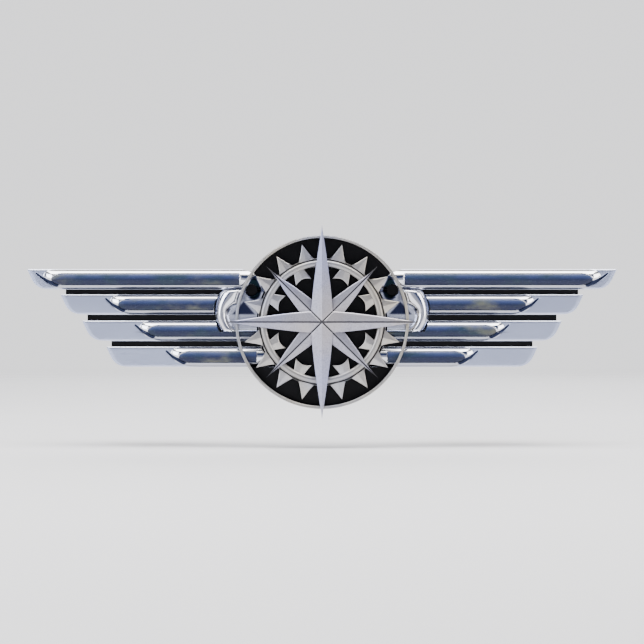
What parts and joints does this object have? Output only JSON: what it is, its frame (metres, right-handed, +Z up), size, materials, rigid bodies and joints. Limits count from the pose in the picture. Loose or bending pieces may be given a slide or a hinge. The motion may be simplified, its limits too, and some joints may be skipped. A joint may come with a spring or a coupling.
{
  "type": "pilot wings pin",
  "caption": "Winged badge pin: compass rose in a ring between stepped feather bars with blue strips, on posts with butterfly clutches.",
  "frame": {"origin": "centre of the hub's flat back face", "axes": "+X across the wings to the viewer's right, +Y out of the back along the posts, +Z up the badge"},
  "size_m": [0.076, 0.0119, 0.0246],
  "materials": {
    "black_nickel": "gloss",
    "polished_chrome": "mirror",
    "satin_silver": "satin",
    "blue_enamel": "gloss",
    "brass": "polished",
    "spring_steel": "satin"
  },
  "bodies": {
    "badge": {"backplate": "black_nickel", "outer_ring": "satin_silver", "toothed_ring": "satin_silver", "ordinal_star": "satin_silver", "cardinal_star": "satin_silver", "star_stud": "satin_silver", "left_feather_1": "polished_chrome", "left_inlay_1": "blue_enamel", "left_feather_2": "polished_chrome", "left_inlay_2": "blue_enamel", "left_feather_3": "polished_chrome", "left_inlay_3": "blue_enamel", "left_feather_4": "polished_chrome", "left_inlay_4": "blue_enamel", "left_shoulder": "polished_chrome", "left_wing_rivets": "brass", "left_post": "brass", "right_feather_1": "polished_chrome", "right_inlay_1": "blue_enamel", "right_feather_2": "polished_chrome", "right_inlay_2": "blue_enamel", "right_feather_3": "polished_chrome", "right_inlay_3": "blue_enamel", "right_feather_4": "polished_chrome", "right_inlay_4": "blue_enamel", "right_shoulder": "polished_chrome", "right_wing_rivets": "brass", "right_post": "brass"},
    "left_clutch": {"left_clutch_base": "brass", "left_clutch_cap": "brass", "left_clutch_spring": "spring_steel"},
    "left_jaw_a": {"left_jaw_a": "brass"},
    "left_jaw_b": {"left_jaw_b": "brass"},
    "right_clutch": {"right_clutch_base": "brass", "right_clutch_cap": "brass", "right_clutch_spring": "spring_steel"},
    "right_jaw_a": {"right_jaw_a": "brass"},
    "right_jaw_b": {"right_jaw_b": "brass"}
  },
  "joints": [
    {"name": "left_clutch_slide", "type": "slide", "parent": "badge", "child": "left_clutch", "axis": [0, 1, 0], "range_m": [0, 0.012]},
    {"name": "left_jaw_a_slide", "type": "slide", "parent": "left_clutch", "child": "left_jaw_a", "axis": [-1, 0, 0], "range_m": [0, 0.0004], "stiffness_N_per_m": 1000, "springref_m": -0.0003, "deforming": ["left_clutch_spring"]},
    {"name": "left_jaw_b_slide", "type": "slide", "parent": "left_clutch", "child": "left_jaw_b", "axis": [1, 0, 0], "range_m": [0, 0.0004], "stiffness_N_per_m": 1000, "springref_m": -0.0003, "deforming": ["left_clutch_spring"]},
    {"name": "right_clutch_slide", "type": "slide", "parent": "badge", "child": "right_clutch", "axis": [0, 1, 0], "range_m": [0, 0.012]},
    {"name": "right_jaw_a_slide", "type": "slide", "parent": "right_clutch", "child": "right_jaw_a", "axis": [-1, 0, 0], "range_m": [0, 0.0004], "stiffness_N_per_m": 1000, "springref_m": -0.0003, "deforming": ["right_clutch_spring"]},
    {"name": "right_jaw_b_slide", "type": "slide", "parent": "right_clutch", "child": "right_jaw_b", "axis": [1, 0, 0], "range_m": [0, 0.0004], "stiffness_N_per_m": 1000, "springref_m": -0.0003, "deforming": ["right_clutch_spring"]}
  ],
  "couplings": [
    {"joint": "left_jaw_b_slide", "follows": "left_jaw_a_slide", "ratio": 1},
    {"joint": "right_jaw_b_slide", "follows": "right_jaw_a_slide", "ratio": 1}
  ]
}
